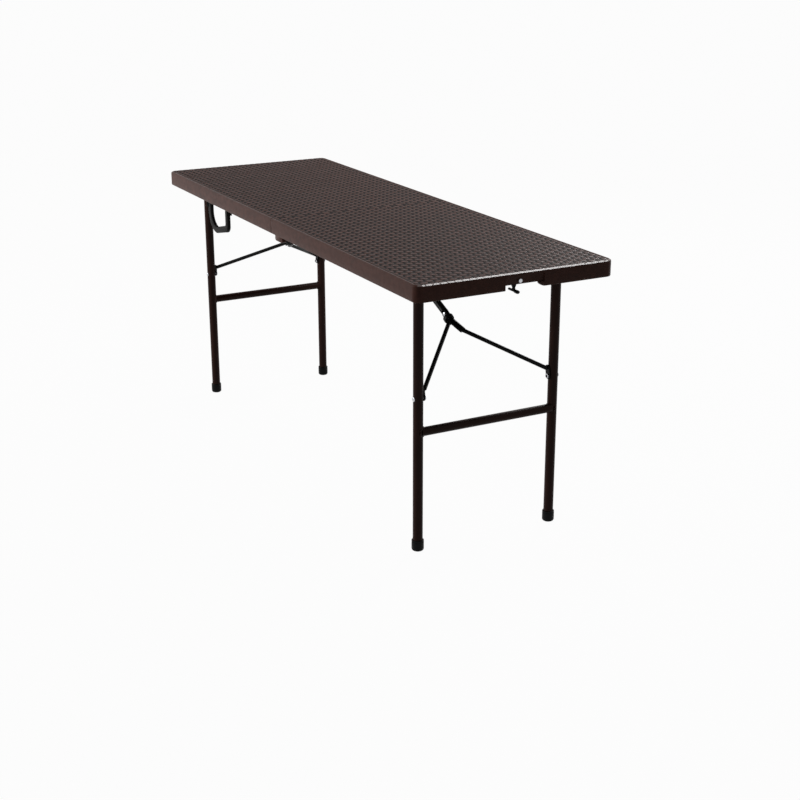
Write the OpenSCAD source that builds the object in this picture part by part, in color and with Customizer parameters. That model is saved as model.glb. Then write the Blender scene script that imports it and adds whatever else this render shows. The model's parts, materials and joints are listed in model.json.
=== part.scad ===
// Rectangular fold-in-half table with a moulded rattan-look top on two folding steel leg frames.
// X runs along the table's length with the latch end at +X, Y across it, Z up from the floor.

/* [Table] */
// Length of the open table
table_l = 1700; // [1500:10:2000]
// Width of the table
table_w = 560; // [520:10:760]
// Height of the table
table_h = 740; // [700:5:780]
// Gap between the two halves at the seam
seam_gap = 1; // [0.6:0.1:2]

/* [Top] */
// Thickness of the moulded panel between its rims
panel_t = 8; // [6:0.5:9]
// Height of the rim all round
apron_h = 43; // [42:1:56]
// Wall of the rim
apron_t = 7; // [5:0.5:9]
// Wall that closes each half at the seam
seam_wall = 7; // [4:0.5:8]
// Radius of the outer corners seen from above
corner_r = 20; // [16:1:60]
// Rounding of the upper edge
rim_r = 5; // [2:0.5:7]
// Rounding of the lower edge
foot_r = 2.5; // [1:0.5:3]
// Width of the hand notch in each end
notch_w = 120; // [90:5:160]
// Height of the hand notch
notch_h = 13; // [8:1:15]
// Offset of the notch's middle from the middle of the end
notch_y = 24; // [0:1:30]
// Length of the stop lugs under the latch half
lug_l = 50; // [30:1:60]
// Drop of the stop lugs below the rim
lug_drop = 15; // [10:1:17]
// Thickness of the stop lugs
lug_t = 13; // [8:1:14]

/* [Rails] */
// Width of a side rail
rail_w = 20; // [16:1:22]
// Height of a side rail
rail_h = 18; // [14:1:18]
// Wall of a side rail
rail_t = 1.5; // [1:0.1:2.5]
// Distance from the table's edge to the middle of a rail
rail_inset = 34; // [33:0.5:36]
// Distance from the seam to a rail's end
rail_start = 24; // [23:1:30]
// Distance from the table's end to a rail's other end
rail_stop = 18; // [16:1:30]
// Distance from each end of a rail to its outer screws
screw_in = 54; // [30:1:80]
// Diameter of a rail screw
screw_d = 4; // [3:0.5:5]
// Depth of a screw in the panel
screw_bite = 4; // [3:0.5:5]

/* [Legs] */
// Diameter of a leg tube
leg_d = 26; // [24:0.5:28]
// Wall of a leg tube
leg_t = 1.2; // [1:0.1:2]
// Distance from the seam to the soles of the folded legs
foot_gap = 11; // [10:0.5:16]
// Distance from the table's edge to the middle of a leg
leg_inset = 80; // [78:1:90]
// Height of a leg axle above the lower edge of the rim
axle_rise = 8; // [7:0.5:9]
// Diameter of a leg axle
axle_d = 10; // [8:0.5:10]
// Diameter of the crossbar
crossbar_d = 23; // [18:0.5:24]
// Height of the crossbar above the floor
crossbar_z = 324; // [300:1:330]
// Setting of the crossbar outwards from the legs' middle
crossbar_out = 4; // [2:0.5:4]
// Diameter of a foot cap
cap_d = 32; // [30:0.5:32]
// Height of a foot cap
cap_h = 30; // [20:1:45]
// Thickness of a foot cap's sole
cap_sole = 4; // [2:0.5:6]

/* [Brace] */
// Distance from the leg axles down to the bolts that hold the brace on the legs
brace_drop = 293; // [285:1:300]
// Diameter of the brace bolts and pivot pins
bolt_d = 8; // [6:0.5:8]
// Distance from the legs to the knuckle, along the table
knuckle_run = 286; // [276:1:290]
// Distance from the leg axles down to the knuckle
knuckle_drop = 123; // [118:1:128]
// Diameter of the brace stem
stem_d = 19; // [16:0.5:19]
// Diameter of a brace arm
arm_d = 11; // [9:0.5:11]
// Thickness of the flattened ends of the brace tubes
flat_t = 3; // [2:0.5:3]
// Height of the flattened ends of the arms
flat_h = 18; // [14:0.5:18]
// Distance from the leg bolts to the arms' fork, along the brace
fork_u = 226; // [218:1:232]
// Rise of the fork above the line from the leg bolts to the knuckle
fork_n = 9.5; // [8:0.5:11]
// Rise of an arm's outer end above that line
arm_n = 16.5; // [16:0.5:17]
// Wall of the lock ring
ring_t = 2.6; // [2:0.2:2.8]
// Length of the lock ring
ring_l = 12; // [8:1:16]
// Thickness of a link strap
strap_t = 3; // [2:0.5:4]
// Width of a link strap between its eyes
strap_w = 8.5; // [6:0.5:9]
// Distance from the middle to the inner face of a link strap
strap_y = 16; // [15:0.5:20]
// Distance from the panel down to the link's upper pins
link_drop = 7.5; // [7.5:0.5:9]

/* [Hinge] */
// Distance from the seam to a hinge pin
hinge_x = 12; // [11:0.5:13]
// Height of the hinge pins above the lower edge of the rim
hinge_rise = 2; // [1.5:0.5:2.5]
// Radius of the hinge plates' ends
hinge_r = 9; // [8:0.5:9.5]
// Thickness of a hinge plate
hinge_t = 3; // [2:0.5:3.5]
// Diameter of a hinge pin
hinge_pin_d = 8; // [6:0.5:8]

/* [Handle and latch] */
// Distance from the middle of the far half to the middle of the handle, towards the end
handle_shift = 20; // [0:1:40]
// Width of the handle between its arms' middles
handle_w = 146; // [120:1:180]
// Length of the handle's arms
handle_l = 74; // [55:1:90]
// Diameter of the handle's grip
handle_d = 14; // [10:0.5:15]
// Radius of the handle's bends
handle_r = 24; // [16:1:30]
// Distance from the table's end to the latch
latch_in = 32; // [30:1:38]
// Offset of the latch from the table's long centre line
latch_y = 7; // [0:1:9]
// Length of the latch's turning bar
latch_l = 44; // [30:1:46]
// Diameter of the latch's bar
latch_d = 9; // [6:0.5:9]
// Diameter of the latch's stem
latch_stem_d = 8; // [6:0.5:10]

/* [Hidden] */
$fn = 64;

// Clearances
slip = 0.08; // radial clearance of a turning pin
seat = 0.05; // radial clearance of a fixed pin
air = 0.3; // gap beside a moving face
over = 1; // how far a cutter reaches past a face

// Levels and places that follow from the sizes above
half_l = table_l / 2;
half_w = table_w / 2;
rim_z = table_h - apron_h;
under_z = table_h - panel_t;
inner_y = half_w - apron_t;
rail_y = half_w - rail_inset;
rail_z = under_z - rail_h;
rail_in = rail_y - rail_w / 2;
rail_out = rail_y + rail_w / 2;
axle_z = rim_z + axle_rise;
leg_x = axle_z + foot_gap;
leg_y = half_w - leg_inset;
brace_z = axle_z - brace_drop;
knuckle_x = leg_x - knuckle_run;
knuckle_z = axle_z - knuckle_drop;
link_z = under_z - link_drop;
hinge_z = rim_z + hinge_rise;
closing_z = hinge_z - hinge_x;
leg_r = leg_d / 2;
plate_t = 3;
bracket_in = rail_in - plate_t;
screw_xs = [rail_start + screw_in, half_l / 2, half_l - rail_stop - screw_in];
screw_head_h = 2.4;

// The brace lies along the line from the leg bolts to the knuckle
brace_len = norm([leg_x - knuckle_x, knuckle_z - brace_z]);
brace_a = atan2(knuckle_z - brace_z, leg_x - knuckle_x);
eye_r = 8;
eye_y = leg_y - leg_r - 0.8;
arm_end_u = 14;
arm_end_y = eye_y - flat_t - arm_d / 2 + 2.5;
fork_y = flat_t / 2 + 2.5;
fork_top_u = fork_u + 36;
stem_end_u = fork_top_u + 2;
rivet_u = fork_top_u - 6;
ring_u = fork_u + 12;
ring_bore_r = 11.4;
tongue_t = 5;

// Folded, the brace lies level at the height of the leg axle, and the link's upper pin sits where
// the link reaches the knuckle both open and folded
folded_bolt_x = leg_x - (axle_z - brace_z);
folded_knuckle_x = folded_bolt_x - brace_len;
link_x = (pow(knuckle_x, 2) + pow(link_z - knuckle_z, 2) - pow(folded_knuckle_x, 2)
    - pow(link_z - axle_z, 2)) / (2 * (knuckle_x - folded_knuckle_x));
link_len = norm([knuckle_x - link_x, link_z - knuckle_z]);
link_a = atan2(link_z - knuckle_z, knuckle_x - link_x);
link_eye_r = link_drop - 1;

// The straps are bent so that they lie between the folded arms and the panel
folded_link_a = atan2(link_z - axle_z, link_x - folded_knuckle_x);
bend_run = link_x - folded_bolt_x + fork_u + 2;
bend_rise = link_drop - 2 * air - strap_w / 2;
link_bend = [bend_run * cos(folded_link_a) - bend_rise * sin(folded_link_a),
    -bend_run * sin(folded_link_a) - bend_rise * cos(folded_link_a)];

handle_x = half_l / 2 + handle_shift;
handle_z = closing_z;
handle_eye_r = 8;
handle_y = inner_y - handle_eye_r - 0.5;
handle_pin_r = 4;
latch_x = half_l - latch_in;
latch_z = closing_z;
latch_guide_h = 16;
latch_screw_z = rim_z + notch_h + 8;
latch_screw_r = 5;
latch_screw_sink = 1.6;
keeper_y = latch_y + latch_l / 2 + 8;
keeper_z = 2 * closing_z - (latch_z + latch_d / 2 + 1);

// Colours as the photographed table shows them
brown = [0.28, 0.21, 0.19];
steel = [0.15, 0.12, 0.12];
black = [0.05, 0.05, 0.05];
zinc = [0.75, 0.75, 0.77];

module far() {
    mirror([1, 0, 0])
        children();
}

module both_sides() {
    for (s = [-1, 1])
        scale([1, s, 1])
            children();
}

// A round bar along Y from y0 to y1
module bar_y(d, y0, y1) {
    translate([0, y0, 0])
        rotate([-90, 0, 0])
            cylinder(d = d, h = y1 - y0);
}

function unit(v) = v / norm(v);
function left_of(v) = [-v[1], v[0]];
function mitre(p, a, b, h) = p + h * (a + b) / (1 + a * b);

// Outline of a strip of width w that runs from a over b to c
module strip(a, b, c, w) {
    n1 = left_of(unit(b - a));
    n2 = left_of(unit(c - b));
    h = w / 2;
    polygon([a + h * n1, mitre(b, n1, n2, h), c + h * n2, c - h * n2, mitre(b, n1, n2, -h), a - h * n1]);
}

// A plate in the XZ plane between two round ends, from y0 to y1
module strap(len, r, y0, y1) {
    translate([0, y1, 0])
        rotate([90, 0, 0])
            linear_extrude(y1 - y0)
                union() {
                    circle(r);
                    translate([len, 0])
                        circle(r);
                    translate([0, -r])
                        square([len, 2 * r]);
                }
}

// Plan of a half, drawn in by inset, from x0 to the outer end
module half_plan(inset, x0) {
    r = corner_r - inset;
    xe = half_l - inset;
    ye = half_w - inset;
    union() {
        translate([x0, -ye])
            square([xe - r - x0, 2 * ye]);
        translate([x0, r - ye])
            square([xe - x0, 2 * (ye - r)]);
        for (s = [-1, 1])
            translate([xe - r, s * (ye - r)])
                circle(r);
    }
}

// What a rounded edge of radius r leaves outside it
module edge_profile(r) {
    difference() {
        square([r + over, r + over]);
        circle(r);
    }
}

// Cutter for the upper edge of a half, with its plane at z = 0
module edge_cutter(r) {
    xs = seam_gap / 2;
    for (s = [-1, 1])
        scale([1, s, 1])
            translate([xs - over, half_w - r, -r])
                rotate([90, 0, 90])
                    linear_extrude(half_l - corner_r - xs + over)
                        edge_profile(r);
    translate([half_l - r, half_w - corner_r, -r])
        rotate([90, 0, 0])
            linear_extrude(2 * (half_w - corner_r))
                edge_profile(r);
    for (s = [-1, 1])
        scale([1, s, 1])
            translate([half_l - corner_r, half_w - corner_r, -r])
                rotate_extrude(angle = 90)
                    translate([corner_r - r, 0])
                        edge_profile(r);
}

// Hand notch in the end wall, straight on one side and curved on the other
module end_notch() {
    translate([half_l - apron_t - over, notch_y - notch_w / 2, rim_z - over])
        rotate([90, 0, 90])
            linear_extrude(apron_t + 2 * over)
                union() {
                    square([notch_w - 2 * notch_h, notch_h + over]);
                    difference() {
                        square([notch_w, notch_h + over]);
                        translate([notch_w, notch_h + over])
                            scale([2, 1])
                                circle(notch_h);
                    }
                }
}

module half_top() {
    difference() {
        translate([0, 0, rim_z])
            linear_extrude(apron_h)
                half_plan(0, seam_gap / 2);
        translate([0, 0, rim_z - over])
            linear_extrude(apron_h - panel_t + over)
                half_plan(apron_t, seam_gap / 2 + seam_wall);
        translate([0, 0, table_h])
            edge_cutter(rim_r);
        translate([0, 0, rim_z])
            mirror([0, 0, 1])
                edge_cutter(foot_r);
        end_notch();
        both_sides()
            translate([0, rail_in, rim_z - over])
                cube([seam_wall + over, inner_y - rail_in, apron_h - panel_t + over]);
        both_sides()
            for (x = screw_xs)
                translate([x, rail_y, under_z - over])
                    cylinder(d = screw_d + 2 * seat, h = screw_bite + over);
    }
}

module stop_lug() {
    lug_r = 7;
    x0 = hinge_x + hinge_r - 1;
    translate([x0, half_w - lug_t - foot_r, rim_z - lug_drop])
        rotate([90, 0, 0])
            mirror([0, 0, 1])
                linear_extrude(lug_t)
                    union() {
                        translate([0, lug_r])
                            square([lug_l, lug_drop - lug_r + over]);
                        translate([lug_r, 0])
                            square([lug_l - 2 * lug_r, lug_r + over]);
                        translate([lug_r, lug_r])
                            circle(lug_r);
                        translate([lug_l - lug_r, lug_r])
                            circle(lug_r);
                    }
}

// Hole for the latch's screw in the end wall, with a recess for its head
module latch_screw_hole() {
    translate([half_l - latch_screw_sink, latch_y, latch_screw_z])
        rotate([0, 90, 0])
            cylinder(r = latch_screw_r + slip, h = latch_screw_sink + over);
    translate([half_l - apron_t - over, latch_y, latch_screw_z])
        rotate([0, 90, 0])
            cylinder(r = screw_d / 2 + seat, h = apron_t + 2 * over);
}

module near_top() {
    color(brown)
        difference() {
            union() {
                half_top();
                both_sides()
                    stop_lug();
            }
            latch_screw_hole();
        }
}

module far_top() {
    color(brown)
        far()
            half_top();
}

// Square tube along each side, with a hole through it for each screw
module rails() {
    len = half_l - rail_start - rail_stop;
    color(steel)
        both_sides()
            difference() {
                translate([rail_start, rail_in, rail_z])
                    cube([len, rail_w, rail_h]);
                translate([rail_start - over, rail_in + rail_t, rail_z + rail_t])
                    cube([len + 2 * over, rail_w - 2 * rail_t, rail_h - 2 * rail_t]);
                for (x = screw_xs)
                    translate([x, rail_y, rail_z - over])
                        cylinder(d = screw_d + 2 * seat, h = rail_h + 2 * over);
            }
}

module rail_screws() {
    color(zinc)
        both_sides()
            for (x = screw_xs)
                translate([x, rail_y, rail_z - screw_head_h])
                    union() {
                        cylinder(d = 2 * screw_d + 1, h = screw_head_h);
                        cylinder(d = screw_d, h = screw_head_h + rail_h + screw_bite - 0.5);
                    }
}

// Plate on the inner face of each rail that carries the leg axle
module leg_brackets() {
    bracket_r = 11;
    color(steel)
        both_sides()
            translate([leg_x, bracket_in, axle_z])
                difference() {
                    union() {
                        bar_y(2 * bracket_r, 0, plate_t);
                        translate([-bracket_r, 0, 0])
                            cube([2 * bracket_r, plate_t, under_z - axle_z]);
                    }
                    bar_y(axle_d + 2 * slip, -over, plate_t + over);
                }
}

module leg_axle() {
    nut_t = 3;
    color(steel)
        translate([leg_x, 0, axle_z])
            union() {
                bar_y(axle_d, -rail_in - air - nut_t, rail_in + air + nut_t);
                both_sides()
                    bar_y(axle_d + 3, rail_in + air, rail_in + air + nut_t);
            }
}

module leg_spacers() {
    color(zinc)
        both_sides()
            translate([leg_x, 0, axle_z])
                difference() {
                    bar_y(axle_d + 6, leg_y + leg_r + air, bracket_in - air);
                    bar_y(axle_d + 2 * seat, leg_y, bracket_in);
                }
}

module leg(side) {
    color(steel)
        translate([leg_x, side * leg_y, 0])
            difference() {
                translate([0, 0, cap_sole])
                    cylinder(r = leg_r, h = axle_z + leg_r - cap_sole);
                translate([0, 0, cap_sole - over])
                    cylinder(r = leg_r - leg_t, h = axle_z + leg_r - cap_sole + 2 * over);
                translate([0, 0, axle_z])
                    bar_y(axle_d + 2 * seat, -leg_d, leg_d);
                translate([0, 0, brace_z])
                    bar_y(bolt_d + 2 * seat, -leg_d, leg_d);
            }
}

// Tube between the legs, with its ends shaped to sit against them
module crossbar() {
    reach = leg_y - 6;
    color(steel)
        difference() {
            translate([leg_x + crossbar_out, 0, crossbar_z])
                bar_y(crossbar_d, -reach, reach);
            translate([leg_x + crossbar_out, 0, crossbar_z])
                bar_y(crossbar_d - 2 * leg_t, -reach - over, reach + over);
            for (s = [-1, 1])
                translate([leg_x, s * leg_y, crossbar_z - crossbar_d])
                    cylinder(r = leg_r + slip, h = 2 * crossbar_d);
        }
}

module feet() {
    sole_r = 5;
    cap_r = cap_d / 2;
    color(black)
        for (s = [-1, 1])
            translate([leg_x, s * leg_y, 0])
                rotate_extrude()
                    difference() {
                        union() {
                            square([cap_r - sole_r, cap_h]);
                            translate([0, sole_r])
                                square([cap_r, cap_h - sole_r]);
                            translate([cap_r - sole_r, sole_r])
                                circle(sole_r);
                        }
                        translate([-cap_r, -over])
                            square([cap_r, cap_h + 2 * over]);
                        translate([0, cap_sole])
                            square([leg_r + seat, cap_h]);
                    }
}

// Bolt through each leg, with a domed head outside and a nut inside the arm's eye
module brace_bolts() {
    nut_y = eye_y - flat_t - air;
    color(zinc)
        both_sides()
            translate([leg_x, 0, brace_z])
                union() {
                    bar_y(bolt_d, nut_y - 3, leg_y + leg_r + slip);
                    bar_y(bolt_d + 5, nut_y - 3, nut_y);
                    bar_y(bolt_d + 4, leg_y + leg_r + slip, leg_y + leg_r + 2);
                }
}

// The brace's own frame: X from the leg bolts to the knuckle, Z across it
module brace_frame() {
    translate([leg_x, 0, brace_z])
        rotate([0, brace_a, 0])
            mirror([1, 0, 0])
                children();
}

stem_a = atan2(fork_n, brace_len - stem_end_u);
stem_len = norm([fork_n, brace_len - stem_end_u]);

// Frame of the stem: X from its lower end to the knuckle
module stem_frame() {
    brace_frame()
        translate([stem_end_u, 0, fork_n])
            rotate([0, stem_a, 0])
                children();
}

module brace_stem() {
    past = 10;
    color(steel)
        difference() {
            union() {
                stem_frame()
                    rotate([0, 90, 0])
                        cylinder(d = stem_d, h = stem_len + past);
                brace_frame()
                    translate([fork_u - 4, -tongue_t / 2, fork_n - flat_h / 2])
                        cube([fork_top_u - fork_u + 8, tongue_t, flat_h]);
            }
            brace_frame()
                translate([brace_len, 0, 0])
                    bar_y(bolt_d + 2 * seat, -stem_d, stem_d);
            brace_frame()
                translate([rivet_u, 0, fork_n])
                    bar_y(6 + 2 * seat, -stem_d, stem_d);
        }
}

// Arm from the fork to a leg: flat at the fork, round along its length and flat again at the leg
module arm(side) {
    flat_len = 9;
    fork = [fork_u, fork_y];
    along = [arm_end_u - fork_u, arm_end_y - fork_y];
    len = norm([along[0], along[1], arm_n - fork_n]);
    rise = asin((arm_n - fork_n) / len);
    color(steel)
        brace_frame()
            scale([1, side, 1])
                difference() {
                    union() {
                        translate([0, 0, fork_n - flat_h / 2])
                            linear_extrude(flat_h)
                                strip([fork_top_u, fork_y], fork, fork + flat_len * unit(along), flat_t);
                        translate([fork_u, fork_y, fork_n])
                            rotate([0, 0, atan2(along[1], along[0])])
                                rotate([0, 90 - rise, 0])
                                    translate([0, 0, flat_len - 4])
                                        cylinder(d = arm_d, h = len - flat_len + 4);
                        rotate([0, -atan2(arm_n, arm_end_u), 0])
                            strap(norm([arm_n, arm_end_u]), eye_r, eye_y - flat_t, eye_y);
                    }
                    bar_y(bolt_d + 2 * slip, eye_y - flat_t - over, eye_y + over);
                    translate([rivet_u, 0, fork_n])
                        bar_y(6 + 2 * seat, 0, 20);
                }
}

module brace_rivet() {
    head = tongue_t / 2 + flat_t;
    color(zinc)
        brace_frame()
            translate([rivet_u, 0, fork_n])
                union() {
                    bar_y(6, -head, head);
                    both_sides()
                        bar_y(11, head, head + 2);
                }
}

// Cross pin at the knuckle, which stops just short of the link straps
module knuckle_pin() {
    color(zinc)
        brace_frame()
            translate([brace_len, 0, 0])
                bar_y(bolt_d, air - strap_y, strap_y - air);
}

module lock_ring() {
    color(black)
        brace_frame()
            translate([ring_u - ring_l / 2, 0, fork_n])
                rotate([0, 90, 0])
                    difference() {
                        cylinder(r = ring_bore_r + ring_t, h = ring_l);
                        translate([0, 0, -over])
                            cylinder(r = ring_bore_r, h = ring_l + 2 * over);
                    }
}

module link_straps() {
    color(steel)
        both_sides()
            translate([link_x, 0, link_z])
                rotate([0, link_a, 0])
                    difference() {
                        union() {
                            translate([0, strap_y + strap_t, 0])
                                rotate([90, 0, 0])
                                    linear_extrude(strap_t)
                                        union() {
                                            strip([0, 0], link_bend, [link_len, 0], strap_w);
                                            circle(link_eye_r);
                                            translate([link_len, 0])
                                                circle(eye_r);
                                        }
                            translate([link_len, 0, 0])
                                bar_y(bolt_d + 4, strap_y, strap_y + strap_t + 2);
                        }
                        bar_y(bolt_d + 2 * slip, strap_y - over, strap_y + strap_t + over);
                    }
}

// Angle plate under the panel that carries a link strap's upper pin
module link_hangers() {
    ear_y = strap_y + strap_t + air;
    ear_r = link_drop - 0.5;
    ear_t = 3;
    color(steel)
        both_sides()
            translate([link_x, 0, link_z])
                difference() {
                    union() {
                        bar_y(2 * ear_r, ear_y, ear_y + ear_t);
                        translate([-ear_r, ear_y, 0])
                            cube([2 * ear_r, ear_t, under_z - link_z]);
                        translate([-ear_r, ear_y, under_z - link_z - ear_t])
                            cube([2 * ear_r, 20, ear_t]);
                    }
                    bar_y(bolt_d + 2 * seat, ear_y - over, ear_y + ear_t + over);
                }
}

module link_pins() {
    ear_y = strap_y + strap_t + air;
    color(zinc)
        both_sides()
            translate([link_x, 0, link_z])
                union() {
                    bar_y(bolt_d, strap_y - air - 2, ear_y + 3.5);
                    bar_y(bolt_d + 4, strap_y - air - 2, strap_y - air);
                }
}

// Plate on the outer face of each rail that carries a hinge pin
module hinge_brackets() {
    arm_l = 58;
    color(steel)
        both_sides()
            translate([0, rail_out + plate_t, 0])
                rotate([90, 0, 0])
                    linear_extrude(plate_t)
                        difference() {
                            union() {
                                translate([hinge_x, hinge_z])
                                    circle(hinge_r);
                                polygon([[hinge_x - hinge_r, hinge_z], [rail_start, rail_z + rail_h],
                                    [hinge_x + arm_l, rail_z + rail_h], [hinge_x + arm_l, rail_z],
                                    [rail_start + 4, rail_z], [hinge_x + hinge_r, hinge_z]]);
                            }
                            translate([hinge_x, hinge_z])
                                circle(d = hinge_pin_d + 2 * seat);
                        }
}

module hinge_pins() {
    y1 = rail_out + plate_t + air;
    color(zinc)
        both_sides()
            translate([hinge_x, 0, hinge_z])
                union() {
                    bar_y(hinge_pin_d, rail_out - 3, y1 + hinge_t + air + 2);
                    bar_y(hinge_pin_d + 4, rail_out - 3, rail_out);
                    bar_y(hinge_pin_d + 4, y1 + hinge_t + air, y1 + hinge_t + air + 2);
                }
}

module hinge_plates() {
    y1 = rail_out + plate_t + air;
    color(steel)
        both_sides()
            translate([-hinge_x, 0, hinge_z])
                difference() {
                    strap(2 * hinge_x, hinge_r, y1, y1 + hinge_t);
                    bar_y(hinge_pin_d + 2 * slip, y1 - over, y1 + hinge_t + over);
                    translate([2 * hinge_x, 0, 0])
                        bar_y(hinge_pin_d + 2 * slip, y1 - over, y1 + hinge_t + over);
                }
}

// Bail handle that hangs from the far half and swings out to carry the folded table
module carry_handle() {
    arm_x = handle_w / 2;
    color(black)
        translate([-handle_x, -handle_y, handle_z])
            difference() {
                union() {
                    for (s = [-1, 1])
                        scale([s, 1, 1])
                            union() {
                                translate([arm_x, 0, handle_r - handle_l])
                                    cylinder(d = handle_d, h = handle_l - handle_r);
                                translate([arm_x - handle_d / 2, 0, 0])
                                    rotate([0, 90, 0])
                                        cylinder(r = handle_eye_r, h = handle_d);
                                translate([arm_x - handle_r, 0, handle_r - handle_l])
                                    rotate([90, 0, 0])
                                        rotate([0, 0, -90])
                                            rotate_extrude(angle = 90)
                                                translate([handle_r, 0])
                                                    circle(d = handle_d);
                            }
                    translate([handle_r - arm_x, 0, -handle_l])
                        rotate([0, 90, 0])
                            cylinder(d = handle_d, h = handle_w - 2 * handle_r);
                }
                translate([-handle_w, 0, 0])
                    rotate([0, 90, 0])
                        cylinder(r = handle_pin_r + slip, h = 2 * handle_w);
            }
}

// Plate beside each arm of the handle, against the rim's inner face
module handle_brackets() {
    foot = 4;
    x0 = handle_w / 2 + handle_d / 2 + air;
    color(black)
        for (s = [-1, 1])
            translate([-handle_x, 0, 0])
                scale([s, 1, 1])
                    difference() {
                        translate([x0, -inner_y, handle_z - handle_eye_r])
                            cube([foot, inner_y - rail_out - air, under_z - handle_z + handle_eye_r]);
                        translate([x0 - over, -handle_y, handle_z])
                            rotate([0, 90, 0])
                                cylinder(r = handle_pin_r + seat, h = foot + 2 * over);
                    }
}

module handle_pins() {
    foot = 4;
    x1 = handle_w / 2 + handle_d / 2 + air + foot;
    color(zinc)
        for (s = [-1, 1])
            translate([-handle_x, -handle_y, handle_z])
                scale([s, 1, 1])
                    translate([handle_w / 2 - handle_d / 2, 0, 0])
                        rotate([0, 90, 0])
                            union() {
                                cylinder(r = handle_pin_r, h = x1 + 2 - handle_w / 2 + handle_d / 2);
                                translate([0, 0, x1 - handle_w / 2 + handle_d / 2])
                                    cylinder(r = handle_pin_r + 2, h = 2);
                            }
}

// Turning bar on a vertical stem: it passes the keeper's slot and turns to lock
module latch_bar() {
    top = under_z - air - latch_z;
    collar = 2;
    color(black)
        translate([latch_x, latch_y, latch_z])
            union() {
                translate([-latch_l / 2, 0, 0])
                    rotate([0, 90, 0])
                        cylinder(d = latch_d - 2, h = latch_l / 2);
                rotate([0, 90, 0])
                    cylinder(d = latch_d, h = latch_l / 2);
                cylinder(d = latch_stem_d, h = top);
                translate([0, 0, top - collar])
                    cylinder(d = latch_stem_d + 4, h = collar);
            }
}

module latch_guide() {
    guide_r = 12;
    gap = 4;
    color(black)
        translate([latch_x, latch_y, under_z - latch_guide_h])
            difference() {
                union() {
                    cylinder(r = guide_r, h = latch_guide_h);
                    translate([0, -guide_r, 0])
                        cube([half_l - apron_t - latch_x, 2 * guide_r, latch_guide_h]);
                }
                translate([guide_r - 4, 0, latch_screw_z - under_z + latch_guide_h])
                    rotate([0, 90, 0])
                        cylinder(r = screw_d / 2 + seat, h = half_l - latch_x);
                translate([0, 0, -over])
                    cylinder(d = latch_stem_d + 2 * slip, h = latch_guide_h + 2 * over);
                translate([0, 0, latch_guide_h - gap])
                    cylinder(d = latch_stem_d + 4 + 4 * slip, h = gap + over);
            }
}

// Screw through the end wall into the latch's guide, with its domed head sunk flush
module latch_screw() {
    head = 1.5;
    color(zinc)
        translate([half_l - head, latch_y, latch_screw_z])
            rotate([0, 90, 0])
                union() {
                    difference() {
                        scale([1, 1, head / latch_screw_r])
                            sphere(r = latch_screw_r);
                        translate([-latch_screw_r - over, -latch_screw_r - over, -2 * latch_screw_r])
                            cube([2 * latch_screw_r + 2 * over, 2 * latch_screw_r + 2 * over, 2 * latch_screw_r]);
                    }
                    translate([0, 0, -apron_t - 14])
                        cylinder(d = screw_d, h = apron_t + 14.5);
                }
}

// Slotted plate under the far end that the turned bar holds
module keeper_plate() {
    slot_w = latch_stem_d + 4;
    slot_l = latch_l + 6;
    t = 2;
    difference() {
        translate([latch_x - slot_l / 2 - 4, -keeper_y, keeper_z - t])
            cube([slot_l + 8, 2 * keeper_y, t]);
        translate([latch_x - slot_l / 2, latch_y - slot_w / 2, keeper_z - t - over])
            cube([slot_l, slot_w, t + 2 * over]);
    }
    both_sides()
        translate([latch_x - 18, keeper_y - t, keeper_z - t])
            cube([36, t, under_z - keeper_z + t]);
    both_sides()
        translate([latch_x - 18, keeper_y - t, under_z - t])
            cube([36, 16, t]);
}

module latch_keeper() {
    color(steel)
        far()
            union()
                keeper_plate();
}

near_top();
far_top();
rails();  // near_rails
far() rails();  // far_rails
rail_screws();  // near_rail_screws
far() rail_screws();  // far_rail_screws
leg_brackets();  // near_leg_brackets
far() leg_brackets();  // far_leg_brackets
leg_axle();  // near_leg_axle
far() leg_axle();  // far_leg_axle
leg_spacers();  // near_leg_spacers
far() leg_spacers();  // far_leg_spacers
leg(-1);  // near_left_leg
leg(1);  // near_right_leg
far() leg(-1);  // far_left_leg
far() leg(1);  // far_right_leg
crossbar();  // near_crossbar
far() crossbar();  // far_crossbar
feet();  // near_feet
far() feet();  // far_feet
brace_bolts();  // near_brace_bolts
far() brace_bolts();  // far_brace_bolts
brace_stem();  // near_brace_stem
far() brace_stem();  // far_brace_stem
arm(-1);  // near_left_arm
arm(1);  // near_right_arm
far() arm(-1);  // far_left_arm
far() arm(1);  // far_right_arm
brace_rivet();  // near_brace_rivet
far() brace_rivet();  // far_brace_rivet
knuckle_pin();  // near_knuckle_pin
far() knuckle_pin();  // far_knuckle_pin
lock_ring();  // near_lock_ring
far() lock_ring();  // far_lock_ring
link_straps();  // near_link_straps
far() link_straps();  // far_link_straps
link_hangers();  // near_link_hangers
far() link_hangers();  // far_link_hangers
link_pins();  // near_link_pins
far() link_pins();  // far_link_pins
hinge_brackets();  // near_hinge_brackets
far() hinge_brackets();  // far_hinge_brackets
hinge_pins();  // near_hinge_pins
far() hinge_pins();  // far_hinge_pins
hinge_plates();
carry_handle();
handle_brackets();
handle_pins();
latch_bar();
latch_guide();
latch_screw();
latch_keeper();
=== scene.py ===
import json
import math

import bmesh
import bpy
import numpy as np
from mathutils import Matrix, Vector


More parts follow.
